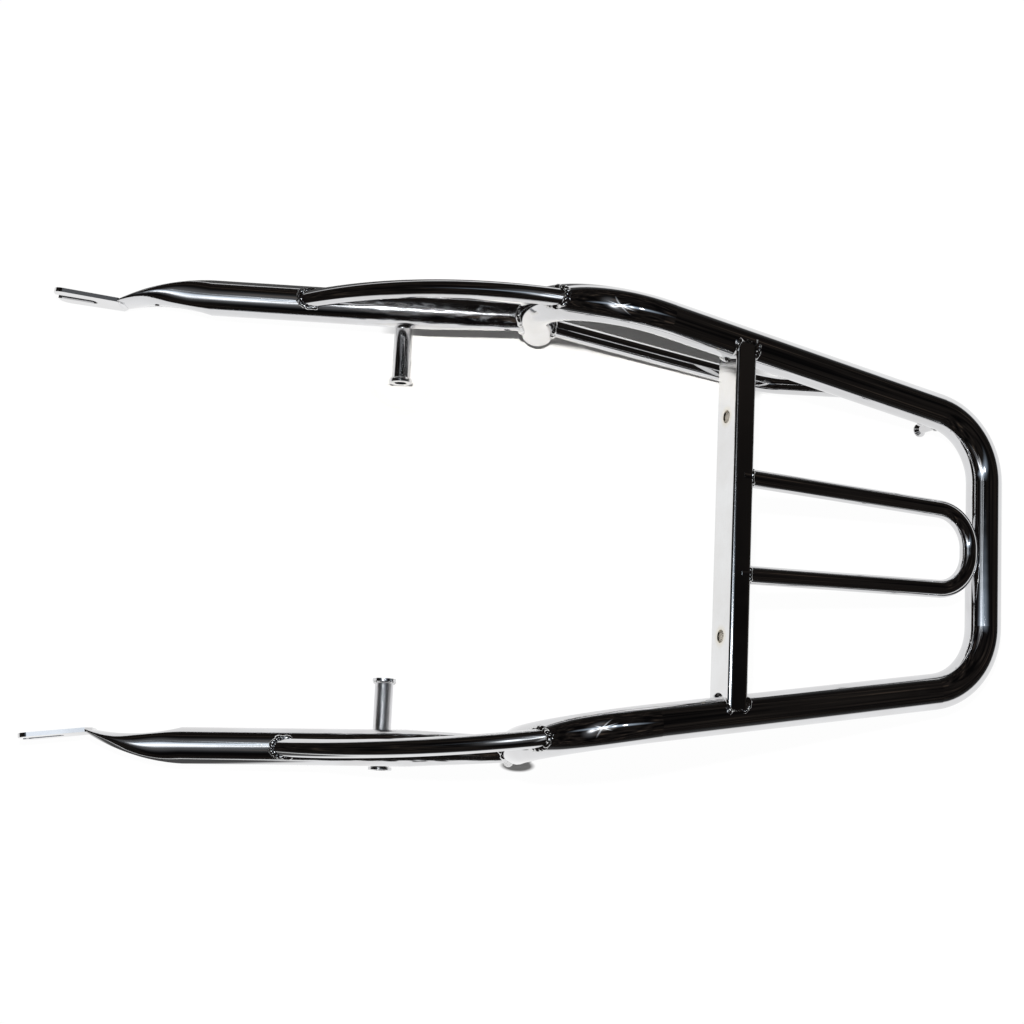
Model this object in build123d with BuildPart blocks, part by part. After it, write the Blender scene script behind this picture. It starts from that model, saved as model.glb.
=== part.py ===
"""Motorcycle luggage rack, welded from bent steel tube and chromed all over.

The side rails lie level, as they do on the motorcycle. Laid loose on a floor, the rack tips forward
by about three degrees and rests on the tips of its tabs and on the bends of its braces.
+X points to the rear of the motorcycle, +Y to its right-hand side and +Z up. The origin is level with
the underside of the rear bar, in the middle of the rack's length and on its plane of symmetry.
Sizes are in millimetres.
"""

import os
from math import cos, radians, sin, tan

from build123d import *

os.makedirs("parts", exist_ok=True)

# Tube stock
tube_d = 25.4
tube_wall = 1.5
thin_d = 12.7
thin_wall = 1.2

# Overall frame of the hoop
overall_length = 684.0
leg_x = 5.0
leg_half_spacing = 153.6
leg_toe_in = 2.0
leg_below_joint = 3.0
platform_pitch = 25.0
rear_corner_half_width = 93.4
leg_bend_radius = 65.0
rear_corner_radius = 49.0

# Side rails, with their flattened and slotted front ends
rail_height = 46.0
rail_front_half_spacing = 162.4
tab_length = 47.5
tab_tip_height = 33.0
tab_root_height = 27.0
tab_root_thickness = 4.2
tab_thickness = 3.0
tab_inset = 9.2
tab_flare = 7.5
tab_overlap = 4.0
tab_corner_radius = 7.0
slot_width = 9.0
slot_length = 30.0
flattening_length = 66.0
half_flat_from_tab = 25.0
half_flat_height = 34.0
half_flat_width = 12.4
half_flat_inset = 1.65
squeezed_width = 17.5
squeezed_height = 29.5
squeeze_length = 78.0
vent_d = 5.0
vent_from_tab = 26.0
vent_from_leg = 21.0

# Grab rails, rising from the side rails to the bends of the hoop
grab_front_x = -172.0
grab_bend_angle = 66.0
grab_rise = 17.0
grab_bow = 5.5

# Braces from the legs to the underside of the hoop
brace_leg_height = 33.0
brace_kink_x = 172.0
brace_kink_height = 10.5
brace_inset = 3.0
brace_bend_radius = 40.0
brace_end_x = 246.0

# Crossbar with two tapped fixing points
crossbar_from_rear = 202.4
crossbar_depth = 15.0
crossbar_height = 28.0
crossbar_drop = 1.5
crossbar_wall = 1.5
crossbar_corner_radius = 2.5
fixing_spacing = 150.6
fixing_hole_d = 9.0
nut_thread_d = 8.0
nut_across_flats = 13.0
nut_thickness = 6.5

# Inner loop of the platform
loop_front_half_width = 33.4
loop_rear_half_width = 27.6
loop_radius = 26.0
loop_seat = 1.0

# Mounting bushes under the side rails
bush_x = -92.3
bush_inner_reach = 36.8
bush_outer_reach = 1.8
bush_bore_d = 8.5
bush_seat = 0.8
bush_washer_d = 16.5
bush_washer_thickness = 2.0

# Leg caps and luggage pegs
cap_thickness = 2.0
peg_from_rear = 37.0
peg_half_spacing = 91.5
peg_rod_d = 5.5
peg_head_d = 9.8
peg_head_rim = 1.0
peg_head_taper = 3.0
peg_reach = 15.0

# Worked out from the sizes above
tube_r = tube_d / 2
thin_r = thin_d / 2
rear_x = overall_length / 2 - tube_r
rear_z = tube_r
pitch = radians(platform_pitch)
tab_tip_x = -overall_length / 2
tab_angle = radians(tab_flare)
kink_x = tab_tip_x + tab_length * cos(tab_angle)

# The platform plane holds the centre lines of the hoop's sides and rear bar.
# Its local x runs rearwards, local y to the right and local z out of the top of the platform.
platform = Plane(
    origin=(rear_x, 0, rear_z),
    x_dir=(cos(pitch), 0, -sin(pitch)),
    z_dir=(sin(pitch), 0, cos(pitch)),
)


def hoop_side(x):
    """Point on the centre line of the hoop's right side, or on that line carried on, at this x."""
    share = (rear_x - x) / (rear_x - leg_x)
    half_width = rear_corner_half_width + share * (leg_half_spacing - rear_corner_half_width)
    return Vector(x, half_width, rear_z + (rear_x - x) * tan(pitch))


def other_side(point):
    """The same point on the left-hand side of the rack."""
    return Vector(point.X, -point.Y, point.Z)


def bent_path(points, radii):
    """Centre line through the points, each inner corner rounded to its own bend radius."""
    with BuildLine() as path:
        start = points[0]
        for before, corner, after, radius in zip(points, points[1:], points[2:], radii):
            into = (corner - before).normalized()
            out = (after - corner).normalized()
            half_turn = radians(into.get_angle(out)) / 2
            bend_start = corner - into * radius * tan(half_turn)
            bend_end = corner + out * radius * tan(half_turn)
            to_centre = (out - into).normalized()
            bend_middle = corner + to_centre * radius * (1 / cos(half_turn) - 1)
            Line(start, bend_start)
            ThreePointArc(bend_start, bend_middle, bend_end)
            start = bend_end
        Line(start, points[-1])
    return path.line


def bar_along(path, diameter):
    """Solid round bar along a centre line."""
    with BuildPart() as bar:
        with BuildSketch(Plane(origin=path @ 0, z_dir=path % 0)):
            Circle(diameter / 2)
        sweep(path=path)
    return bar.part


# Main hoop: one tube from the right leg, over the bend, round the rear bar and down the left leg.
# The legs lean in a little and end just below the tubes that are welded to them.
joint_bottom = min(brace_leg_height - thin_r, rail_height - squeezed_height / 2)
leg_foot = Vector(leg_x, leg_half_spacing - leg_toe_in, joint_bottom - leg_below_joint)
knee = hoop_side(leg_x)
rear_corner = hoop_side(rear_x)
hoop_points = [
    leg_foot,
    knee,
    rear_corner,
    other_side(rear_corner),
    other_side(knee),
    other_side(leg_foot),
]
hoop_radii = [leg_bend_radius, rear_corner_radius, rear_corner_radius, leg_bend_radius]
hoop_path = bent_path(hoop_points, hoop_radii)
hoop_bar = bar_along(hoop_path, tube_d)
hoop_core = bar_along(hoop_path, tube_d - 2 * tube_wall)

with BuildPart() as main_hoop:
    add(hoop_bar)
    add(hoop_core, mode=Mode.SUBTRACT)
main_hoop.part.label = "main_hoop"
export_step(main_hoop.part, "parts/main_hoop.step")

# Leg caps: a disc in the end of each leg, flush with it
with BuildPart() as right_leg_cap:
    with BuildSketch(Plane(origin=leg_foot, z_dir=knee - leg_foot)):
        Circle(tube_r - tube_wall)
    extrude(amount=cap_thickness)
right_leg_cap.part.label = "right_leg_cap"
export_step(right_leg_cap.part, "parts/right_leg_cap.step")

with BuildPart() as left_leg_cap:
    mirror(right_leg_cap.part, about=Plane.XZ)
left_leg_cap.part.label = "left_leg_cap"
export_step(left_leg_cap.part, "parts/left_leg_cap.step")

# Side rail: a tube from the leg to the front, squeezed narrow at the leg and flattened at the front
rail_start = Vector(leg_x, leg_half_spacing, rail_height)
rail_end = Vector(kink_x, rail_front_half_spacing, rail_height)
rail_direction = (rail_end - rail_start).normalized()
rail_length = (rail_end - rail_start).length


def rail_section(distance):
    """Plane across the right side rail, at a distance from the leg; local x is up, local y outboard."""
    return Plane(origin=rail_start + rail_direction * distance, x_dir=(0, 0, 1), z_dir=rail_direction)


def rail_body(wall):
    """Outside of the right side rail, or its hollow where a wall thickness is given."""
    round_end = rail_length - flattening_length
    with BuildPart() as body:
        with BuildSketch(rail_section(0)):
            Ellipse(squeezed_height / 2 - wall, squeezed_width / 2 - wall)
        with BuildSketch(rail_section(squeeze_length)):
            Circle(tube_r - wall)
        loft()
        with BuildSketch(rail_section(squeeze_length)):
            Circle(tube_r - wall)
        extrude(amount=round_end - squeeze_length)
        with BuildSketch(rail_section(round_end)):
            Circle(tube_r - wall)
        with BuildSketch(rail_section(rail_length - half_flat_from_tab)):
            with Locations((0, -half_flat_inset)):
                Ellipse(half_flat_height / 2 - wall, half_flat_width / 2 - wall)
        with BuildSketch(rail_section(rail_length)):
            with Locations((0, -tab_inset)):
                Ellipse(tab_root_height / 2 - wall, tab_root_thickness / 2 - wall)
        loft()
    return body.part


# The tab lies upright at the front of the rail and flares outwards; its slot is open to the front
tab_plane = Plane(
    origin=rail_end + Vector(0, -tab_inset, 0),
    x_dir=(-cos(tab_angle), sin(tab_angle), 0),
    z_dir=(sin(tab_angle), cos(tab_angle), 0),
)
rail_outside = rail_body(0)
rail_inside = rail_body(tube_wall)

with BuildPart() as right_side_rail:
    add(rail_outside)
    add(rail_inside, mode=Mode.SUBTRACT)
    with BuildSketch(tab_plane) as tab_outline:
        with BuildLine():
            Polyline(
                (-tab_overlap, -tab_root_height / 4),
                (0, -tab_root_height / 2),
                (tab_length, -tab_tip_height / 2),
                (tab_length, tab_tip_height / 2),
                (0, tab_root_height / 2),
                (-tab_overlap, tab_root_height / 4),
                close=True,
            )
        make_face()
        fillet(tab_outline.vertices().group_by(Axis.X)[-1], tab_corner_radius)
    extrude(amount=tab_thickness / 2, both=True)
    with BuildSketch(tab_plane):
        with Locations((tab_length, 0)):
            SlotOverall(2 * slot_length, slot_width)
    extrude(amount=tab_thickness, both=True, mode=Mode.SUBTRACT)
    for distance in (vent_from_leg, rail_length - vent_from_tab):
        across = rail_section(distance)
        with BuildSketch(Plane(origin=across.origin, z_dir=-across.y_dir)):
            Circle(vent_d / 2)
        extrude(amount=tube_d, mode=Mode.SUBTRACT)
    add(hoop_bar, mode=Mode.SUBTRACT)
right_side_rail.part.label = "right_side_rail"
export_step(right_side_rail.part, "parts/right_side_rail.step")

with BuildPart() as left_side_rail:
    mirror(right_side_rail.part, about=Plane.XZ)
left_side_rail.part.label = "left_side_rail"
export_step(left_side_rail.part, "parts/left_side_rail.step")

# Grab rail: a thin tube, gently arched, from the top of the side rail to the hoop's bend
side_in_plan = Vector(rear_corner.X - knee.X, rear_corner.Y - knee.Y, 0).normalized()
knee_turn = Vector(0, 0, 1).get_angle(rear_corner - knee)
bend_base_height = knee.Z - leg_bend_radius * tan(radians(knee_turn) / 2)
grab_angle = radians(grab_bend_angle)
grab_start = rail_start + rail_direction * ((leg_x - grab_front_x) / -rail_direction.X)
grab_end = Vector(
    leg_x + side_in_plan.X * leg_bend_radius * (1 - cos(grab_angle)),
    leg_half_spacing + side_in_plan.Y * leg_bend_radius * (1 - cos(grab_angle)),
    bend_base_height + leg_bend_radius * sin(grab_angle),
)
grab_middle = (grab_start + grab_end) * 0.5 + Vector(0, grab_bow, grab_rise)

with BuildLine() as grab_line:
    ThreePointArc(grab_start, grab_middle, grab_end)
grab_bar = bar_along(grab_line.line, thin_d)
grab_core = bar_along(grab_line.line, thin_d - 2 * thin_wall)

with BuildPart() as right_grab_rail:
    add(grab_bar)
    add(grab_core, mode=Mode.SUBTRACT)
    add(hoop_bar, mode=Mode.SUBTRACT)
    add(rail_outside, mode=Mode.SUBTRACT)
right_grab_rail.part.label = "right_grab_rail"
export_step(right_grab_rail.part, "parts/right_grab_rail.step")

with BuildPart() as left_grab_rail:
    mirror(right_grab_rail.part, about=Plane.XZ)
left_grab_rail.part.label = "left_grab_rail"
export_step(left_grab_rail.part, "parts/left_grab_rail.step")

# Brace: a thin tube from the back of the leg, bent up to the underside of the hoop
brace_kink = Vector(brace_kink_x, hoop_side(brace_kink_x).Y - brace_inset, brace_kink_height)
brace_points = [
    Vector(leg_x, leg_half_spacing, brace_leg_height),
    brace_kink,
    hoop_side(brace_end_x),
]
brace_path = bent_path(brace_points, [brace_bend_radius])
brace_bar = bar_along(brace_path, thin_d)
brace_core = bar_along(brace_path, thin_d - 2 * thin_wall)

with BuildPart() as right_brace:
    add(brace_bar)
    add(brace_core, mode=Mode.SUBTRACT)
    add(hoop_bar, mode=Mode.SUBTRACT)
right_brace.part.label = "right_brace"
export_step(right_brace.part, "parts/right_brace.step")

with BuildPart() as left_brace:
    mirror(right_brace.part, about=Plane.XZ)
left_brace.part.label = "left_brace"
export_step(left_brace.part, "parts/left_brace.step")

# Crossbar: a rectangular tube between the sides of the hoop, coped to them, with two fixing holes
crossbar_middle = platform.from_local_coords((-crossbar_from_rear, 0, -crossbar_drop))
crossbar_half_length = hoop_side(crossbar_middle.X).Y
crossbar_plane = Plane(origin=crossbar_middle, x_dir=platform.x_dir, z_dir=(0, 1, 0))
front_wall_inside = -crossbar_from_rear - crossbar_depth / 2 + crossbar_wall

with BuildPart() as crossbar_block:
    with BuildSketch(crossbar_plane):
        RectangleRounded(crossbar_depth, crossbar_height, crossbar_corner_radius)
    extrude(amount=crossbar_half_length, both=True)

with BuildPart() as crossbar:
    add(crossbar_block.part)
    with BuildSketch(crossbar_plane):
        RectangleRounded(
            crossbar_depth - 2 * crossbar_wall,
            crossbar_height - 2 * crossbar_wall,
            crossbar_corner_radius - crossbar_wall,
        )
    extrude(amount=crossbar_half_length, both=True, mode=Mode.SUBTRACT)
    for side in (-1, 1):
        hole_local = (front_wall_inside, side * fixing_spacing / 2, -crossbar_drop)
        hole_place = platform.from_local_coords(hole_local)
        with BuildSketch(Plane(origin=hole_place, z_dir=-platform.x_dir)):
            Circle(fixing_hole_d / 2)
        extrude(amount=2 * crossbar_wall, mode=Mode.SUBTRACT)
    add(hoop_bar, mode=Mode.SUBTRACT)
crossbar.part.label = "crossbar"
export_step(crossbar.part, "parts/crossbar.step")

# Weld nuts: one behind each fixing hole, inside the crossbar and against its front wall
nut_place = platform.from_local_coords((front_wall_inside, fixing_spacing / 2, -crossbar_drop))
with BuildPart() as right_weld_nut:
    with BuildSketch(Plane(origin=nut_place, z_dir=platform.x_dir)):
        RegularPolygon(nut_across_flats / 2, 6, major_radius=False)
        Circle(nut_thread_d / 2, mode=Mode.SUBTRACT)
    extrude(amount=nut_thickness)
right_weld_nut.part.label = "right_weld_nut"
export_step(right_weld_nut.part, "parts/right_weld_nut.step")

with BuildPart() as left_weld_nut:
    mirror(right_weld_nut.part, about=Plane.XZ)
left_weld_nut.part.label = "left_weld_nut"
export_step(left_weld_nut.part, "parts/left_weld_nut.step")

# Inner loop: a thin tube from the crossbar to the rear bar and back, its top level with the hoop's
loop_lift = tube_r - thin_r
loop_reach = ((tube_r + thin_r) ** 2 - loop_lift**2) ** 0.5 - loop_seat
loop_front_right = platform.from_local_coords((-crossbar_from_rear, loop_front_half_width, loop_lift))
loop_rear_right = platform.from_local_coords((-loop_reach, loop_rear_half_width, loop_lift))
loop_points = [
    loop_front_right,
    loop_rear_right,
    other_side(loop_rear_right),
    other_side(loop_front_right),
]
loop_path = bent_path(loop_points, [loop_radius, loop_radius])
loop_bar = bar_along(loop_path, thin_d)
loop_core = bar_along(loop_path, thin_d - 2 * thin_wall)

with BuildPart() as inner_loop:
    add(loop_bar)
    add(loop_core, mode=Mode.SUBTRACT)
    add(hoop_bar, mode=Mode.SUBTRACT)
    add(crossbar_block.part, mode=Mode.SUBTRACT)
inner_loop.part.label = "inner_loop"
export_step(inner_loop.part, "parts/inner_loop.step")

# Mounting bush: a spacer tube across the underside of the side rail, with a washer on each end
bush_height = rail_height - tube_r - thin_r + bush_seat
bush_on_rail = rail_start + rail_direction * ((leg_x - bush_x) / -rail_direction.X)
bush_inner_y = bush_on_rail.Y - tube_r - bush_inner_reach
bush_outer_y = bush_on_rail.Y + tube_r + bush_outer_reach


def bush_section(y):
    """Plane across the right bush at this y, facing outboard."""
    return Plane(origin=(bush_x, y, bush_height), z_dir=(0, 1, 0))


with BuildPart() as right_mount_bush:
    with BuildSketch(bush_section(bush_inner_y + bush_washer_thickness)):
        Circle(thin_r)
        Circle(bush_bore_d / 2, mode=Mode.SUBTRACT)
    extrude(amount=bush_outer_y - bush_inner_y - 2 * bush_washer_thickness)
    add(rail_outside, mode=Mode.SUBTRACT)
right_mount_bush.part.label = "right_mount_bush"
export_step(right_mount_bush.part, "parts/right_mount_bush.step")

with BuildPart() as left_mount_bush:
    mirror(right_mount_bush.part, about=Plane.XZ)
left_mount_bush.part.label = "left_mount_bush"
export_step(left_mount_bush.part, "parts/left_mount_bush.step")

with BuildPart() as right_inner_washer:
    with BuildSketch(bush_section(bush_inner_y)):
        Circle(bush_washer_d / 2)
        Circle(bush_bore_d / 2, mode=Mode.SUBTRACT)
    extrude(amount=bush_washer_thickness)
right_inner_washer.part.label = "right_inner_washer"
export_step(right_inner_washer.part, "parts/right_inner_washer.step")

with BuildPart() as left_inner_washer:
    mirror(right_inner_washer.part, about=Plane.XZ)
left_inner_washer.part.label = "left_inner_washer"
export_step(left_inner_washer.part, "parts/left_inner_washer.step")

with BuildPart() as right_outer_washer:
    with BuildSketch(bush_section(bush_outer_y - bush_washer_thickness)):
        Circle(bush_washer_d / 2)
        Circle(bush_bore_d / 2, mode=Mode.SUBTRACT)
    extrude(amount=bush_washer_thickness)
right_outer_washer.part.label = "right_outer_washer"
export_step(right_outer_washer.part, "parts/right_outer_washer.step")

with BuildPart() as left_outer_washer:
    mirror(right_outer_washer.part, about=Plane.XZ)
left_outer_washer.part.label = "left_outer_washer"
export_step(left_outer_washer.part, "parts/left_outer_washer.step")

# Luggage peg: a headed pin under the hoop, near the rear corner, to hold an elastic cord
peg_root = platform.from_local_coords((-peg_from_rear, peg_half_spacing, 0))
peg_plane = Plane(origin=peg_root, x_dir=(0, 1, 0), z_dir=-platform.x_dir)
peg_length = tube_r + peg_reach

with BuildPart() as right_luggage_peg:
    with BuildSketch(peg_plane):
        with BuildLine():
            Polyline(
                (0, 0),
                (peg_rod_d / 2, 0),
                (peg_rod_d / 2, peg_length - peg_head_rim - peg_head_taper),
                (peg_head_d / 2, peg_length - peg_head_rim),
                (peg_head_d / 2, peg_length),
                (0, peg_length),
                close=True,
            )
        make_face()
    revolve(axis=Axis(peg_root, platform.z_dir))
    add(hoop_bar, mode=Mode.SUBTRACT)
right_luggage_peg.part.label = "right_luggage_peg"
export_step(right_luggage_peg.part, "parts/right_luggage_peg.step")

with BuildPart() as left_luggage_peg:
    mirror(right_luggage_peg.part, about=Plane.XZ)
left_luggage_peg.part.label = "left_luggage_peg"
export_step(left_luggage_peg.part, "parts/left_luggage_peg.step")
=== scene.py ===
# %% [markdown]
# # A chromed motorcycle luggage rack
# This lesson dresses a welded tube rack that was modelled as solids. The solids already have the
# right size and place, so the work here is the camera, the light, the chrome plate and the small
# deposits of weld metal that join the tubes. Everything is in metres: +X points to the rear of the
# motorcycle, +Y to its right-hand side and +Z up.

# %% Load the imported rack
import bpy
import bmesh
import math
from mathutils import Matrix, Vector, noise
from mathutils.bvhtree import BVHTree


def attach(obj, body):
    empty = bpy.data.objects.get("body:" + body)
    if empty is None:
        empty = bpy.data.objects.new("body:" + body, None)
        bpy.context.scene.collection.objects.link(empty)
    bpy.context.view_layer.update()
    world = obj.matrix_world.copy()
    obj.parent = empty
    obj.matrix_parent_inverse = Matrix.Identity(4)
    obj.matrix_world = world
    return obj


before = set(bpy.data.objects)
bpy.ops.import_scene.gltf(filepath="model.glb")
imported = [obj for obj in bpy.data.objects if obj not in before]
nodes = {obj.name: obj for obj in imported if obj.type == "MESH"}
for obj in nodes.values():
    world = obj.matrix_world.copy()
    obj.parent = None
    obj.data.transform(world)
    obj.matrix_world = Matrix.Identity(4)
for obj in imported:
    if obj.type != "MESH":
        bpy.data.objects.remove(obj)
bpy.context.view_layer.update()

# %% [markdown]
# ## The camera
# The rack is looked at from almost straight above, with a long lens, from a little to the left of
# its middle. A camera could be aimed with a Track To constraint, but here its three axes are known,
# so they are written straight into its matrix: the columns are right, up and backwards.

# %% Place the camera
lens_mm = 75.59
sensor_mm = 36.0
camera_place = (0.0475, -0.2382, 1.5395)
camera_right = Vector((0.99861, 0.04398, -0.02903))
camera_up = Vector((-0.03853, 0.98521, 0.16699))
camera_back = Vector((0.03595, -0.16563, 0.98553))
camera_data = bpy.data.cameras.new("rack_camera")
camera_data.sensor_fit = "HORIZONTAL"
camera_data.sensor_width = sensor_mm
camera_data.lens = lens_mm
camera_data.clip_start = 0.05
camera_data.clip_end = 120.0
camera = bpy.data.objects.new("rack_camera", camera_data)
axes = Matrix((camera_right, camera_up, camera_back)).transposed().to_4x4()
camera.matrix_world = Matrix.Translation(camera_place) @ axes
scene = bpy.context.scene
scene.collection.objects.link(camera)
scene.camera = camera
scene.view_settings.view_transform = "Standard"
print("camera at", tuple(round(x, 3) for x in camera.matrix_world.translation))

# %% [markdown]
# ## Small helpers
# A procedural material is a chain of nodes. Three helpers keep the chains readable: one adds a node
# and sets its sockets by name, one joins an output to an input, and one starts an empty tree. A
# fourth turns an edited mesh into an object of the scene.


# %% Helpers for nodes and meshes
def add_node(tree, kind, settings=None, **sockets):
    """Add a node, set its properties from settings and its input sockets from the keywords."""
    made = tree.nodes.new(kind)
    for key, value in (settings or {}).items():
        setattr(made, key, value)
    for key, value in sockets.items():
        made.inputs[key.replace("_", " ")].default_value = value
    return made


def join(tree, source, output, target, socket):
    """Link a named output to a named input."""
    tree.links.new(source.outputs[output], target.inputs[socket])


def new_tree(name):
    """A material with an empty node tree and its output node."""
    material = bpy.data.materials.new(name)
    material.use_nodes = True
    tree = material.node_tree
    tree.nodes.clear()
    return material, tree, tree.nodes.new("ShaderNodeOutputMaterial")


def object_from(bm, name):
    """Turn an edited mesh into a named object and link it to the scene."""
    mesh = bpy.data.meshes.new(name)
    bm.to_mesh(mesh)
    bm.free()
    made = bpy.data.objects.new(name, mesh)
    scene.collection.objects.link(made)
    return made


# A Mix node keeps sockets for every type of data: these are the places of those used here.
vector_a, vector_b, vector_result = 4, 5, 1
colour_a, colour_b, colour_result = 6, 7, 2
print("helpers ready")

# %% [markdown]
# ## Floor, dark ceiling and white surroundings
# Chrome has hardly any colour of its own: it shows the room. In this picture the undersides and
# flanks of the tubes mirror a white floor, and their tops mirror a dark room above. So the floor is
# white, a wide dark ceiling hangs over the camera, and the world beyond is white only for the camera.
#
# The rack's frame keeps its side rails level. Laid loose on a floor it tips forward by almost three
# degrees and rests on the tips of its tabs and the bends of its braces, so it is the floor that is
# turned here. Its paper glows for the camera and for mirror rays, which keeps the sheet white to its
# edges. Only in a few spots, under the right-hand rail and brace, at the right-hand washer and at the
# left leg, does it take nearly all its light from the lamp, so the narrow shadows there stay dark.
# For mirror rays the glow is a little weaker between the rails: a painted shade, as if the rack shaded
# the sheet. It fades out between half and three quarters of a metre from the middle, so that the tubes
# also mirror the dark room beyond the sheet, and two painted dark patches beside the front rails,
# seen only in the chrome, darken their outer flanks.


# %% Build the floor
def stage_sheet(name, radius, place, slope=0.0):
    """A flat round sheet that belongs to the set, not to the rack."""
    bm = bmesh.new()
    bmesh.ops.create_circle(bm, cap_ends=True, segments=96, radius=radius)
    bmesh.ops.rotate(bm, verts=bm.verts, cent=(0, 0, 0), matrix=Matrix.Rotation(slope, 3, "Y"))
    bmesh.ops.translate(bm, verts=bm.verts, vec=place)
    sheet = object_from(bm, name)
    return sheet


def shade_spot(tree, coordinates, place, half_size, turn=0.0):
    """A soft oval on the floor: one in its middle and nothing at its rim."""
    oval = add_node(
        tree, "ShaderNodeMapping", {"vector_type": "TEXTURE"},
        Location=(*place, 0.0), Rotation=(0.0, 0.0, math.radians(turn)), Scale=(*half_size, 1.0),
    )
    fade = add_node(tree, "ShaderNodeTexGradient", {"gradient_type": "SPHERICAL"})
    join(tree, coordinates, "Object", oval, "Vector")
    join(tree, oval, "Vector", fade, "Vector")
    return fade


set_radius = 30.0
floor_slope = math.radians(2.80)
floor_height = 0.0133
spot_full = 0.3
floor = stage_sheet("white_floor", set_radius, (0.0, 0.0, floor_height), floor_slope)
floor_material, tree, output = new_tree("white_floor_paper")
paper = add_node(tree, "ShaderNodeBsdfDiffuse")
glow = add_node(tree, "ShaderNodeEmission", Color=(1.0, 1.0, 1.0, 1.0))
rays = add_node(tree, "ShaderNodeLightPath")
place = add_node(tree, "ShaderNodeTexCoord")
paper_tone = add_node(tree, "ShaderNodeValToRGB")
paper_tone.color_ramp.elements[0].position = 0.0
paper_tone.color_ramp.elements[0].color = (0.02, 0.02, 0.02, 1.0)
paper_tone.color_ramp.elements[1].position = spot_full
paper_tone.color_ramp.elements[1].color = (0.50, 0.495, 0.485, 1.0)
spread = add_node(
    tree, "ShaderNodeMapRange", From_Min=0.0, From_Max=spot_full, To_Min=0.98, To_Max=0.06
)
sides = add_node(tree, "ShaderNodeSeparateXYZ")
off_middle = add_node(tree, "ShaderNodeMath", {"operation": "ABSOLUTE"})
# Painted shade for mirror rays only: the floor's glow is a little weaker between the rails.
between_rails_shade = add_node(
    tree, "ShaderNodeMapRange", From_Min=0.10, From_Max=0.17, To_Min=0.93, To_Max=1.0
)
sheet = shade_spot(tree, place, (0.0, 0.0), (1.0, 1.0))
sheet_edge = add_node(
    tree, "ShaderNodeMapRange", From_Min=0.25, From_Max=0.50, To_Min=0.04, To_Max=1.0
)
on_sheet = add_node(tree, "ShaderNodeMath", {"operation": "MULTIPLY"})
mirrored = add_node(tree, "ShaderNodeMath", {"operation": "MULTIPLY"})
seen = add_node(tree, "ShaderNodeMath", {"operation": "MAXIMUM"})
seen_at_all = add_node(tree, "ShaderNodeMath", {"operation": "MAXIMUM"})
glow_level = add_node(tree, "ShaderNodeMath", {"operation": "MULTIPLY"})
both = add_node(tree, "ShaderNodeAddShader")
spots = (
    shade_spot(tree, place, (-0.025, 0.146), (0.085, 0.045)),
    shade_spot(tree, place, (0.085, 0.1475), (0.10, 0.030), -15.7),
    shade_spot(tree, place, (-0.092, 0.108), (0.03, 0.025)),
    shade_spot(tree, place, (0.0036, -0.163), (0.0130, 0.0048)),
)
# Painted reflection: two dark patches beside the front rails, seen only in the chrome, darken the
# rails' outer flanks.
flank_dark_patches = (
    shade_spot(tree, place, (-0.17, 0.27), (0.24, 0.12)),
    shade_spot(tree, place, (-0.27, -0.26), (0.13, 0.11)),
)
outside = add_node(tree, "ShaderNodeMath", {"operation": "MAXIMUM"})
flank_darkening = add_node(
    tree, "ShaderNodeMapRange", From_Min=0.0, From_Max=0.25, To_Min=1.0, To_Max=0.05
)
on_white = add_node(tree, "ShaderNodeMath", {"operation": "MULTIPLY"})
tree.links.new(flank_dark_patches[0].outputs["Fac"], outside.inputs[0])
tree.links.new(flank_dark_patches[1].outputs["Fac"], outside.inputs[1])
tree.links.new(outside.outputs[0], flank_darkening.inputs["Value"])
zone = spots[0]
for spot in spots[1:]:
    either = add_node(tree, "ShaderNodeMath", {"operation": "MAXIMUM"})
    tree.links.new(zone.outputs[-1], either.inputs[0])
    tree.links.new(spot.outputs["Fac"], either.inputs[1])
    zone = either
tree.links.new(zone.outputs[0], paper_tone.inputs["Fac"])
tree.links.new(zone.outputs[0], spread.inputs["Value"])
join(tree, paper_tone, "Color", paper, "Color")
join(tree, place, "Object", sides, "Vector")
tree.links.new(sides.outputs["Y"], off_middle.inputs[0])
tree.links.new(off_middle.outputs[0], between_rails_shade.inputs["Value"])
tree.links.new(rays.outputs["Is Glossy Ray"], mirrored.inputs[0])
join(tree, sheet, "Fac", sheet_edge, "Value")
tree.links.new(between_rails_shade.outputs["Result"], on_sheet.inputs[0])
tree.links.new(sheet_edge.outputs["Result"], on_sheet.inputs[1])
tree.links.new(on_sheet.outputs[0], on_white.inputs[0])
tree.links.new(flank_darkening.outputs["Result"], on_white.inputs[1])
tree.links.new(on_white.outputs[0], mirrored.inputs[1])
tree.links.new(rays.outputs["Is Camera Ray"], seen.inputs[0])
tree.links.new(rays.outputs["Is Transmission Ray"], seen.inputs[1])
tree.links.new(seen.outputs[0], seen_at_all.inputs[0])
tree.links.new(mirrored.outputs[0], seen_at_all.inputs[1])
tree.links.new(seen_at_all.outputs[0], glow_level.inputs[0])
tree.links.new(spread.outputs["Result"], glow_level.inputs[1])
tree.links.new(glow_level.outputs[0], glow.inputs["Strength"])
tree.links.new(paper.outputs[0], both.inputs[0])
tree.links.new(glow.outputs[0], both.inputs[1])
tree.links.new(both.outputs[0], output.inputs["Surface"])
floor.data.materials.append(floor_material)
print("floor slope in degrees:", round(math.degrees(floor_slope), 2))

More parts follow.
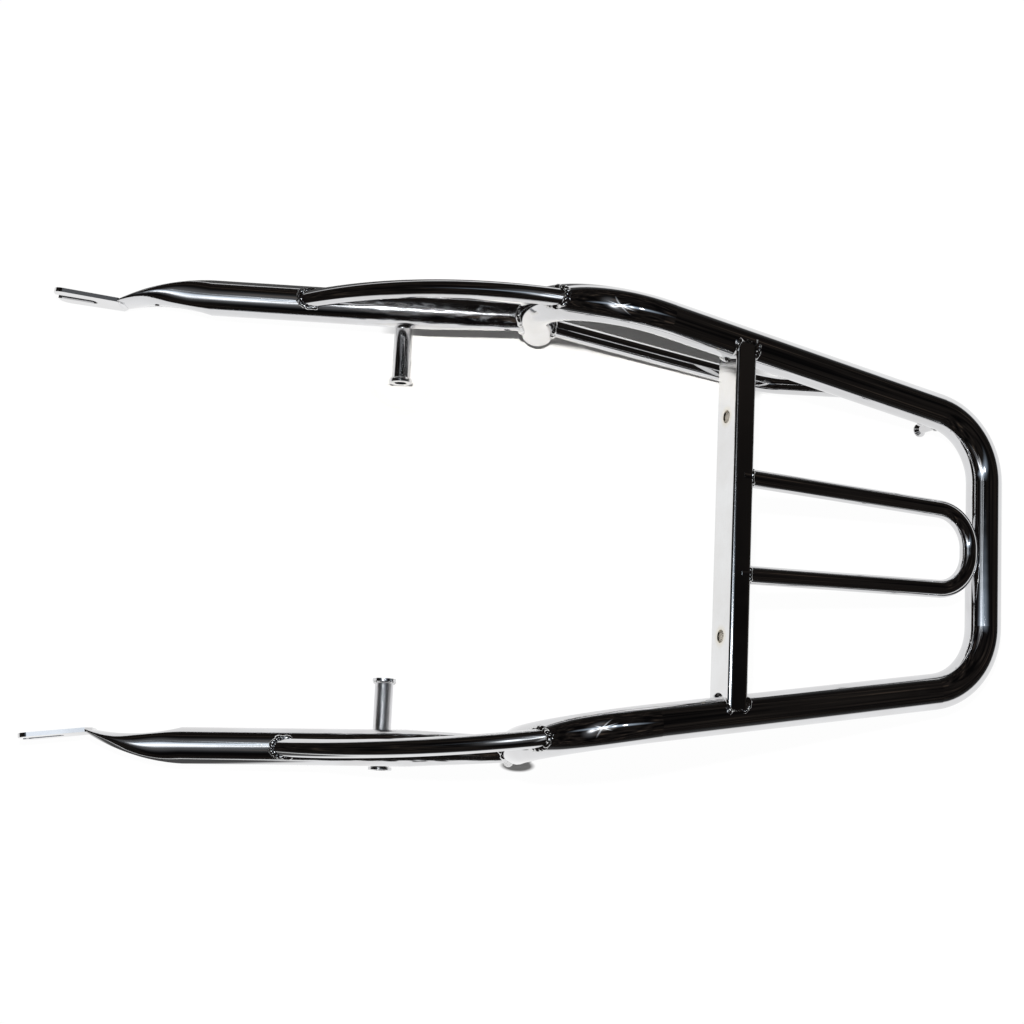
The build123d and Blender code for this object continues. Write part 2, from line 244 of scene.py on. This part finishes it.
# %% Hang the dark ceiling
ceiling_height = 2.3
ceiling = stage_sheet("dark_ceiling", set_radius, (0.0, 0.0, ceiling_height))
ceiling_material, tree, output = new_tree("dim_room")
place = add_node(tree, "ShaderNodeTexCoord")
patches = add_node(tree, "ShaderNodeTexNoise", Scale=0.9, Detail=3.0, Roughness=0.5)
tones = add_node(tree, "ShaderNodeValToRGB")
tones.color_ramp.elements[0].position = 0.40
tones.color_ramp.elements[0].color = (0.003, 0.0028, 0.003, 1.0)
tones.color_ramp.elements[1].position = 0.60
tones.color_ramp.elements[1].color = (0.016, 0.0135, 0.012, 1.0)
warm = tones.color_ramp.elements.new(0.70)
warm.color = (0.060, 0.045, 0.034, 1.0)
dim = add_node(tree, "ShaderNodeEmission", Strength=1.0)
join(tree, place, "Object", patches, "Vector")
join(tree, patches, "Fac", tones, "Fac")
join(tree, tones, "Color", dim, "Color")
join(tree, dim, "Emission", output, "Surface")
ceiling.data.materials.append(ceiling_material)
ceiling.visible_camera = False
print("ceiling at", ceiling_height, "m")

# %% White surroundings
world = bpy.data.worlds.new("white_surroundings")
world.use_nodes = True
tree = world.node_tree
surround = tree.nodes["Background"]
surround.inputs["Color"].default_value = (1.0, 1.0, 1.0, 1.0)
rays = add_node(tree, "ShaderNodeLightPath")
seen_white = add_node(tree, "ShaderNodeMapRange", To_Min=0.02, To_Max=1.0)
tree.links.new(rays.outputs["Is Camera Ray"], seen_white.inputs["Value"])
tree.links.new(seen_white.outputs["Result"], surround.inputs["Strength"])
scene.world = world
print("world white for the camera")

# %% [markdown]
# ## A lamp and soft panels
# One small lamp near the camera throws the narrow shadows. It is hidden from mirror rays, because
# what the chrome shows is set separately: soft panels, bright in the middle and fading to nothing at
# their edges, give the long glow on the side rails, the cool sheen on the rear bar and the glints in
# the bends. An area lamp would do as well, but its hard edge would show as a crisp white line.


# %% Set the lamp
lamp_data = bpy.data.lights.new("shadow_lamp", "AREA")
lamp_data.shape = "DISK"
lamp_data.size = 0.06
lamp_data.energy = 47.0
lamp_data.color = (1.0, 0.99, 0.975)
shadow_lamp = bpy.data.objects.new("shadow_lamp", lamp_data)
shadow_lamp.location = (-0.02, 0.05, 1.58)
shadow_lamp.visible_glossy = False
scene.collection.objects.link(shadow_lamp)
print("lamp at", tuple(shadow_lamp.location))


# %% Hang the soft panels
def soft_panel(name, place, half_size, colour, strength, turn=0.0):
    """A sheet of glow, brightest in its middle, clear at its rim and seen only in the chrome."""
    bm = bmesh.new()
    bmesh.ops.create_grid(bm, x_segments=1, y_segments=1, size=1.0)
    bmesh.ops.scale(bm, verts=bm.verts, vec=(half_size[0], half_size[1], 1.0))
    about_z = Matrix.Rotation(math.radians(turn), 3, "Z")
    bmesh.ops.rotate(bm, verts=bm.verts, cent=(0, 0, 0), matrix=about_z)
    bmesh.ops.translate(bm, verts=bm.verts, vec=place)
    material, tree, output = new_tree(name + "_glow")
    spot = add_node(tree, "ShaderNodeTexCoord")
    centred = add_node(
        tree, "ShaderNodeMapping", {"vector_type": "TEXTURE"},
        Location=place, Rotation=(0.0, 0.0, math.radians(turn)), Scale=(*half_size, 1.0),
    )
    fade = add_node(tree, "ShaderNodeTexGradient", {"gradient_type": "QUADRATIC_SPHERE"})
    level = add_node(tree, "ShaderNodeMath", {"operation": "MULTIPLY"})
    level.inputs[1].default_value = strength
    light = add_node(tree, "ShaderNodeEmission", Color=(*colour, 1.0))
    join(tree, spot, "Object", centred, "Vector")
    join(tree, centred, "Vector", fade, "Vector")
    tree.links.new(fade.outputs["Fac"], level.inputs[0])
    tree.links.new(level.outputs[0], light.inputs["Strength"])
    clear = add_node(tree, "ShaderNodeBsdfTransparent")
    both = add_node(tree, "ShaderNodeAddShader")
    tree.links.new(clear.outputs[0], both.inputs[0])
    tree.links.new(light.outputs[0], both.inputs[1])
    tree.links.new(both.outputs[0], output.inputs["Surface"])
    panel = object_from(bm, name)
    panel.data.materials.append(material)
    panel.visible_camera = False
    panel.visible_diffuse = False
    panel.visible_shadow = False


# Name, place, half size, colour and strength of each panel.
panels = (
    ("rail_panel", (-0.53, -0.27, 1.65), (0.20, 0.50), (0.92, 0.96, 1.0), 2.3),
    ("rail_halo", (-0.50, -0.10, 1.652), (0.45, 2.00), (0.88, 0.93, 1.0), 0.26),
    ("key_panel", (0.08, 0.06, 1.66), (0.12, 0.20), (0.90, 0.96, 1.0), 3.0),
    ("key_halo", (-0.05, 0.06, 1.662), (1.80, 0.28), (0.70, 0.84, 1.0), 1.2),
    ("bush_panel", (-0.24, 0.0, 1.648), (0.26, 0.12), (1.0, 0.99, 0.97), 7.0),
    ("inner_panel", (-0.17, -0.20, 1.649), (0.45, 0.42), (1.0, 0.98, 0.95), 0.7),
    ("corner_panel", (0.38, 0.07, 1.68), (0.10, 0.10), (1.0, 0.99, 0.98), 24.0),
    ("glint_core", (-0.24, 0.0, 1.64), (0.06, 0.14), (1.0, 0.99, 0.97), 30.0),
)
for panel in panels:
    soft_panel(*panel)
# Crossed streaks through the glint: turn in degrees, half length and strength.
glint_place = (-0.24, 0.0, 1.642)
glint_half_width = 0.05
glint_colour = (0.90, 0.95, 1.0)
glint_rays = ((0.0, 2.20, 1.2), (32.0, 0.75, 5.0), (148.0, 0.75, 5.0))
for turn, reach, strength in glint_rays:
    soft_panel(
        "glint_ray_%d" % turn, glint_place, (glint_half_width, reach), glint_colour, strength, turn
    )
print("panels hung:", len(panels) + len(glint_rays))

# %% [markdown]
# ## Chrome plate
# Plating follows the steel under it. Drawn and bent tube is never quite even, so its mirror image
# wavers slowly along the tube; polishing leaves a fine haze; and here and there a speck interrupts
# the shine. Where a tube was pressed flat, the steel keeps long shallow press marks and a duller,
# greyer shine. A plain metal shader would look like a computer drawing, so noise patterns on Object
# coordinates drive the bump, the roughness and a slight change of tint.


# %% The plated finish
def plated(
    name, colour, rough, wave, wave_scale=55.0, haze=0.0000012, marks=None, metal_share=1.0
):
    """Chrome over steel. Marks is a start, an end and a stretch: press marks grow along X."""
    material, tree, output = new_tree(name)
    metal = add_node(tree, "ShaderNodeBsdfPrincipled", Metallic=metal_share)
    place = add_node(tree, "ShaderNodeTexCoord")
    waves = add_node(tree, "ShaderNodeTexNoise", Scale=wave_scale, Detail=1.5, Roughness=0.4)
    cloud = add_node(tree, "ShaderNodeTexNoise", Scale=28.0, Detail=4.0, Roughness=0.6)
    grain = add_node(tree, "ShaderNodeTexNoise", Scale=1500.0, Detail=2.0, Roughness=0.5)
    specks = add_node(tree, "ShaderNodeTexVoronoi", Scale=170.0, Randomness=1.0)
    for pattern in (waves, cloud, grain, specks):
        join(tree, place, "Object", pattern, "Vector")
    tint = add_node(tree, "ShaderNodeValToRGB")
    tint.color_ramp.elements[0].position = 0.35
    tint.color_ramp.elements[0].color = (colour[0] * 0.93, colour[1] * 0.92, colour[2] * 0.91, 1.0)
    tint.color_ramp.elements[1].position = 0.65
    tint.color_ramp.elements[1].color = (colour[0], colour[1], colour[2], 1.0)
    join(tree, cloud, "Fac", tint, "Fac")
    join(tree, tint, "Color", metal, "Base Color")
    shine = add_node(
        tree, "ShaderNodeMapRange",
        From_Min=0.3, From_Max=0.75, To_Min=rough * 0.5, To_Max=rough * 1.7,
    )
    join(tree, cloud, "Fac", shine, "Value")
    spot = add_node(
        tree, "ShaderNodeMapRange", From_Min=0.0, From_Max=0.09, To_Min=0.22, To_Max=0.0
    )
    join(tree, specks, "Distance", spot, "Value")
    dulled = add_node(tree, "ShaderNodeMath", {"operation": "MAXIMUM"})
    tree.links.new(shine.outputs["Result"], dulled.inputs[0])
    tree.links.new(spot.outputs["Result"], dulled.inputs[1])
    slow = add_node(tree, "ShaderNodeBump", Strength=1.0, Distance=wave)
    fine = add_node(tree, "ShaderNodeBump", Strength=1.0, Distance=haze)
    join(tree, waves, "Fac", slow, "Height")
    join(tree, grain, "Fac", fine, "Height")
    join(tree, slow, "Normal", fine, "Normal")
    join(tree, metal, "BSDF", output, "Surface")
    if marks is None:
        tree.links.new(dulled.outputs[0], metal.inputs["Roughness"])
        join(tree, fine, "Normal", metal, "Normal")
        return material
    parts = add_node(tree, "ShaderNodeSeparateXYZ")
    grow = add_node(
        tree, "ShaderNodeMapRange", {"interpolation_type": "SMOOTHSTEP"},
        From_Min=marks[0], From_Max=marks[1], To_Min=0.0, To_Max=1.0,
    )
    drawn = add_node(tree, "ShaderNodeMapping", Scale=marks[2])
    press = add_node(tree, "ShaderNodeTexNoise", Scale=110.0, Detail=2.0, Roughness=0.5)
    dull = add_node(
        tree, "ShaderNodeMapRange", From_Min=0.35, From_Max=0.68, To_Min=0.0, To_Max=0.14
    )
    shallow = add_node(tree, "ShaderNodeBump", Distance=0.0012)
    worn = add_node(tree, "ShaderNodeMath", {"operation": "MULTIPLY_ADD"})
    join(tree, place, "Object", parts, "Vector")
    join(tree, parts, "X", grow, "Value")
    join(tree, place, "Object", drawn, "Vector")
    join(tree, drawn, "Vector", press, "Vector")
    join(tree, press, "Fac", dull, "Value")
    join(tree, press, "Fac", shallow, "Height")
    join(tree, grow, "Result", shallow, "Strength")
    join(tree, fine, "Normal", shallow, "Normal")
    join(tree, shallow, "Normal", metal, "Normal")
    tree.links.new(dull.outputs["Result"], worn.inputs[0])
    tree.links.new(grow.outputs["Result"], worn.inputs[1])
    tree.links.new(dulled.outputs[0], worn.inputs[2])
    tree.links.new(worn.outputs[0], metal.inputs["Roughness"])
    return material


chrome_colour = (0.72, 0.725, 0.74)
thick_chrome = plated("thick_tube_chrome", chrome_colour, 0.035, 0.00007)
thin_chrome = plated("thin_tube_chrome", chrome_colour, 0.04, 0.00004, wave_scale=80.0)
right_rail_chrome, left_rail_chrome = (
    plated(
        name, chrome_colour, 0.06, 0.00012, wave_scale=45.0, haze=0.000005,
        marks=(-0.155, -0.085, (0.28, 1.0, 1.0)),
    )
    for name in ("right_rail_chrome", "left_rail_chrome")
)
bar_chrome = plated("crossbar_chrome", (0.82, 0.825, 0.83), 0.09, 0.00006)
right_bush_chrome, left_bush_chrome = (
    plated(
        name, chrome_colour, rough, 0.00008, wave_scale=120.0,
        marks=(-2.0, -1.0, (1.0, 0.10, 1.0)),
    )
    for name, rough in (("right_bush_chrome", 0.12), ("left_bush_chrome", 0.26))
)
weld_chrome = plated(
    "weld_chrome", (0.70, 0.705, 0.71), 0.09, 0.0006, wave_scale=360.0, haze=0.000004
)
cap_chrome = plated("cap_chrome", chrome_colour, 0.10, 0.00006)
nut_metal = plated(
    "nut_steel_finish", (0.30, 0.28, 0.245), 0.34, 0.0001, wave_scale=300.0, metal_share=0.35
)
print("finishes:", len(bpy.data.materials))

# %% [markdown]
# Toward the front the side rails are pressed flat. Polishing has rounded the start of the flat, so the
# mirror image runs on over it without a break. The solid has a plain edge there. Instead of rounding
# the solid, the finish leads its normal over from that of the round tube to that of the flat.


# %% Ease the start of the flat
def ease_flat(material, side):
    """Lead the normal of a round tube over into that of the flattened end."""
    tree = material.node_tree
    first = next(n for n in tree.nodes if n.type == "BUMP" and not n.inputs["Normal"].is_linked)
    place = add_node(tree, "ShaderNodeTexCoord")
    shape = add_node(tree, "ShaderNodeNewGeometry")
    from_end = add_node(tree, "ShaderNodeVectorMath", {"operation": "SUBTRACT"})
    along = add_node(tree, "ShaderNodeVectorMath", {"operation": "PROJECT"})
    outward = add_node(tree, "ShaderNodeVectorMath", {"operation": "SUBTRACT"})
    unit = add_node(tree, "ShaderNodeVectorMath", {"operation": "NORMALIZE"})
    eased = add_node(tree, "ShaderNodeVectorMath", {"operation": "NORMALIZE"})
    parts = add_node(tree, "ShaderNodeSeparateXYZ")
    share = add_node(
        tree, "ShaderNodeMapRange", {"interpolation_type": "SMOOTHSTEP"},
        From_Min=-0.290, From_Max=-0.238, To_Min=0.0, To_Max=1.0,
    )
    blend = add_node(tree, "ShaderNodeMix", {"data_type": "VECTOR"})
    rail_end = (0.005, 0.1536 * side, 0.046)
    rail_axis = (-0.99957, 0.02933 * side, 0.0)
    from_end.inputs[1].default_value = rail_end
    along.inputs[1].default_value = rail_axis
    tree.links.new(place.outputs["Object"], from_end.inputs[0])
    tree.links.new(from_end.outputs["Vector"], along.inputs[0])
    tree.links.new(from_end.outputs["Vector"], outward.inputs[0])
    tree.links.new(along.outputs["Vector"], outward.inputs[1])
    tree.links.new(outward.outputs["Vector"], unit.inputs[0])
    join(tree, place, "Object", parts, "Vector")
    join(tree, parts, "X", share, "Value")
    tree.links.new(share.outputs["Result"], blend.inputs[0])
    tree.links.new(shape.outputs["Normal"], blend.inputs[vector_a])
    tree.links.new(unit.outputs["Vector"], blend.inputs[vector_b])
    tree.links.new(blend.outputs[vector_result], eased.inputs[0])
    tree.links.new(eased.outputs["Vector"], first.inputs["Normal"])


ease_flat(right_rail_chrome, 1)
ease_flat(left_rail_chrome, -1)
print("flats eased")

# %% [markdown]
# Round the two fixing holes the plate is thinner and a little yellow. The stain is a ring: a distance
# from the hole, taken with the sign of Y dropped so that one pattern serves both holes.

# %% Stain round the fixing holes
tree = bar_chrome.node_tree
metal = next(n for n in tree.nodes if n.type == "BSDF_PRINCIPLED")
clean = metal.inputs["Base Color"].links[0].from_socket
place = add_node(tree, "ShaderNodeTexCoord")
one_side = add_node(tree, "ShaderNodeVectorMath", {"operation": "ABSOLUTE"})
from_hole = add_node(tree, "ShaderNodeVectorMath", {"operation": "DISTANCE"})
hole_middle = (0.13843, 0.0753, 0.10004)
hole_edge = 0.0044
stain_edge = 0.0085
from_hole.inputs[1].default_value = hole_middle
ring = add_node(
    tree, "ShaderNodeMapRange", From_Min=hole_edge, From_Max=stain_edge, To_Min=0.55, To_Max=0.0
)
stain = add_node(tree, "ShaderNodeMix", {"data_type": "RGBA", "blend_type": "MULTIPLY"})
stain.inputs[colour_b].default_value = (0.92, 0.84, 0.66, 1.0)
join(tree, place, "Object", one_side, "Vector")
tree.links.new(one_side.outputs["Vector"], from_hole.inputs[0])
join(tree, from_hole, "Value", ring, "Value")
tree.links.new(ring.outputs["Result"], stain.inputs[0])
tree.links.new(clean, stain.inputs[colour_a])
tree.links.new(stain.outputs[colour_result], metal.inputs["Base Color"])
print("stain set")

# %% Give each solid its finish
finish_of = {
    "main_hoop": thick_chrome,
    "right_side_rail": right_rail_chrome,
    "left_side_rail": left_rail_chrome,
    "grab_rail": thin_chrome,
    "brace": thin_chrome,
    "inner_loop": thin_chrome,
    "crossbar": bar_chrome,
    "right_mount_bush": right_bush_chrome,
    "left_mount_bush": left_bush_chrome,
    "washer": right_bush_chrome,
    "luggage_peg": thin_chrome,
    "leg_cap": cap_chrome,
    "weld_nut": nut_metal,
}
for node_name, solid in nodes.items():
    for part_name, finish in finish_of.items():
        if part_name in node_name:
            solid.material_slots[0].material = finish
print("dressed", len(nodes), "solids")

# %% [markdown]
# ## Weld beads
# Each joint is closed by a bead of weld metal, laid down in small overlapping pools and then plated
# with the tubes. A bead follows the line where one tube lands on another, which is a saddle curve.
# It could be drawn by hand as a curve with thickness, but a surer way is to spin a small circle into
# a ring and then set every station of the ring down on the other tube by casting a ray at it.

# %% Surfaces that beads are laid on
trees = {}
for node_name, solid in nodes.items():
    corners = [v.co.copy() for v in solid.data.vertices]
    faces = [tuple(p.vertices) for p in solid.data.polygons]
    trees[node_name] = BVHTree.FromPolygons(corners, faces)
print("surfaces to lay beads on:", len(trees))


# %% Outlines of the tubes' ends
def round_end(radius):
    """Outline of a round tube: the same reach at every turn."""
    return lambda turn: radius


def oval_end(half_across, half_up):
    """Outline of a tube squeezed to an oval."""
    return lambda turn: half_across * half_up / math.hypot(
        half_up * math.cos(turn), half_across * math.sin(turn)
    )


def box_end(half_across, half_up, sharpness=9.0):
    """Outline of a rectangular tube with rounded corners."""
    return lambda turn: (
        abs(math.cos(turn) / half_across) ** sharpness + abs(math.sin(turn) / half_up) ** sharpness
    ) ** (-1.0 / sharpness)


print("outlines ready")


# %% Lay one bead
def lay_bead(name, start, towards, outline, carrier, bead, lumps, across=None, swell=None):
    """A rippled ring of weld metal where the outline, carried along towards, meets the carrier."""
    stations = 96
    far_reach = 0.02
    unevenness = 0.0004
    towards = Vector(towards).normalized()
    start = Vector(start)
    across = Vector(across) if across else towards.orthogonal()
    across = (across - towards * across.dot(towards)).normalized()
    upright = towards.cross(across)
    ring_radius = 0.01
    reach = trees[carrier].ray_cast(start, towards)[3] or far_reach
    bm = bmesh.new()
    stand_up = Matrix.Translation((ring_radius, 0, 0)) @ Matrix.Rotation(math.pi / 2, 4, "X")
    bmesh.ops.create_circle(bm, segments=10, radius=bead, matrix=stand_up)
    bmesh.ops.spin(
        bm, geom=bm.verts[:] + bm.edges[:], cent=(0, 0, 0), axis=(0, 0, 1),
        angle=2 * math.pi, steps=stations, use_merge=True,
    )
    seed = Vector((len(name) * 1.7, start.x * 31.0, start.y * 17.0))
    for v in bm.verts:
        turn = math.atan2(v.co.y, v.co.x)
        grow, rise = v.co.xy.length - ring_radius, v.co.z
        outward = across * math.cos(turn) + upright * math.sin(turn)
        around = Vector((math.cos(turn), math.sin(turn), 0.0))
        uneven = noise.noise(around * 2.3 + seed)
        pool = abs(math.sin(0.5 * lumps * turn + 5.0 * uneven)) - 0.6
        size = 1.0 + 0.16 * pool + 0.34 * uneven + 0.30 * noise.noise(around * 6.5 + seed)
        if swell:
            size *= swell(outward)
        wander = unevenness * noise.noise(around * 5.0 + seed)
        corner = start + outward * (outline(turn) + wander)
        landing = trees[carrier].ray_cast(corner, towards)[0]
        if landing is None:
            landing = trees[carrier].find_nearest(corner + towards * reach)[0]
        v.co = landing + (outward * grow - towards * rise) * size
    bmesh.ops.recalc_face_normals(bm, faces=bm.faces)
    for face in bm.faces:
        face.smooth = True
    made = object_from(bm, name)
    made.data.materials.append(weld_chrome)
    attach(made, "root")
    return made


print("bead layer ready")

# %% [markdown]
# The joints come in mirrored pairs, so each is described once for the right-hand side: a point on
# the tube's axis a little way off, the way the tube runs into the joint, and the outline of its end.

# %% Lay the beads of both sides
platform_x = Vector((0.906308, 0.0, -0.422618))
platform_z = Vector((0.422618, 0.0, 0.906308))
thin_r = 0.00635


def on_side(vector, side):
    """The vector, or its mirror image on the left-hand side."""
    return Vector((vector[0], vector[1] * side, vector[2]))


def at_corners(outward):
    """More metal at the crossbar's upper corners and little across its flat top."""
    along = abs(outward.dot(platform_x))
    above = outward.dot(platform_z)
    if above < 0:
        return 1.0
    return 0.15 + 1.15 * math.exp(-((along - 0.47) / 0.16) ** 2)


beads = []
for side, hand in ((1, "right"), (-1, "left")):
    rail = hand + "_side_rail"
    # Name, start, way, outline, carrier, bead radius, lumps, direction across and swell.
    joints = (
        ("grab_front_bead", (-0.15292, 0.15967, 0.05881), (-0.84499, -0.02802, -0.53405),
         round_end(thin_r), rail, 0.0021, 17, None, None),
        ("grab_rear_bead", (0.00183, 0.15222, 0.11773), (0.98384, -0.12808, 0.12510),
         round_end(thin_r), "main_hoop", 0.0025, 19, None, None),
        ("rail_bead", (-0.0250, 0.15448, 0.0460), (0.99957, -0.02933, 0.0),
         oval_end(0.00875, 0.01475), "main_hoop", 0.0025, 18, (0, 1, 0), None),
        ("brace_leg_bead", (0.0341, 0.14767, 0.0291), (-0.97147, 0.19779, 0.13089),
         round_end(thin_r), "main_hoop", 0.0020, 12, None, None),
        ("brace_hoop_bead", (0.2140, 0.11352, 0.0338), (0.86754, -0.12587, 0.48117),
         round_end(thin_r), "main_hoop", 0.0018, 12, None, None),
        ("crossbar_bead", (0.14523, 0.0950, 0.09688), (0, 1, 0),
         box_end(0.0075, 0.0140), "main_hoop", 0.0027, 19, platform_x, at_corners),
        ("loop_bead", (0.1667, 0.03277, 0.0955), (-0.90586, 0.03126, 0.42241),
         round_end(0.0056), "crossbar", 0.0016, 12, None, None),
        ("bush_bead", (-0.0923, 0.15645, 0.0250), (0, 0, 1),
         oval_end(0.0036, 0.0050), rail, 0.0019, 8, (1, 0, 0), None),
        ("bush_end_bead", (-0.0923, 0.1220, 0.02775), (0, -1, 0),
         round_end(thin_r), hand + "_inner_washer", 0.0015, 9, (1, 0, 0), None),
        ("peg_bead", Vector((0.29577, 0.0915, 0.02834)) - platform_z * 0.022, platform_z,
         round_end(0.00275), "main_hoop", 0.0012, 9, None, None),
    )
    for name, start, towards, outline, carrier, bead, lumps, across, swell in joints:
        across_here = on_side(across, side) if across else None
        beads.append(
            lay_bead(hand + "_" + name, on_side(start, side), on_side(towards, side), outline,
                     carrier, bead, lumps, across_here, swell)
        )
print("beads laid:", len(beads))

# %% Bead between the inner loop and the rear bar
rear_bar_middle = Vector((0.3293, 0.0, 0.0127))
to_rear_bar = platform_x * 0.01696 - platform_z * 0.00635
apex_bead = lay_bead(
    "loop_apex_bead", rear_bar_middle - to_rear_bar, to_rear_bar, oval_end(0.0085, 0.0030),
    "main_hoop", 0.0014, 15, (0, 1, 0),
)
print("apex bead faces:", len(apex_bead.data.polygons))

# %% [markdown]
# ## Threads in the weld nuts
# Behind each hole in the crossbar sits a nut, and its thread glints in the hole. A thread is a small
# tooth carried round the bore while it moves along it, which is what the spin operator does when it
# is given a step along the axis as well.


# %% Cut the threads
def thread(name, mouth, along):
    """A helical tooth inside a nut's bore."""
    pitch = 0.00125
    root_r, crest_r = 0.00398, 0.00340
    tooth_width = pitch * 0.9
    nut_depth = 0.0064
    turns = 4.6
    steps = int(turns * 22)
    bm = bmesh.new()
    profile = ((root_r, 0, 0), (crest_r, 0, pitch * 0.45), (root_r, 0, tooth_width))
    tooth = [bm.verts.new(point) for point in profile]
    edges = [bm.edges.new(tooth[:2]), bm.edges.new(tooth[1:])]
    bmesh.ops.spin(
        bm, geom=tooth + edges, cent=(0, 0, 0), axis=(0, 0, 1), angle=turns * 2 * math.pi,
        steps=steps, dvec=(0, 0, (nut_depth - tooth_width) / steps),
    )
    turn_to = Vector(along).to_track_quat("Z", "Y").to_matrix().to_4x4()
    bmesh.ops.transform(bm, matrix=Matrix.Translation(mouth) @ turn_to, verts=bm.verts)
    bmesh.ops.recalc_face_normals(bm, faces=bm.faces)
    made = object_from(bm, name)
    made.data.materials.append(nut_metal)
    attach(made, "root")


for side, hand in ((1, "right"), (-1, "left")):
    thread(hand + "_nut_thread", on_side((0.13979, 0.0753, 0.09941), side), platform_x)
print("threads cut")
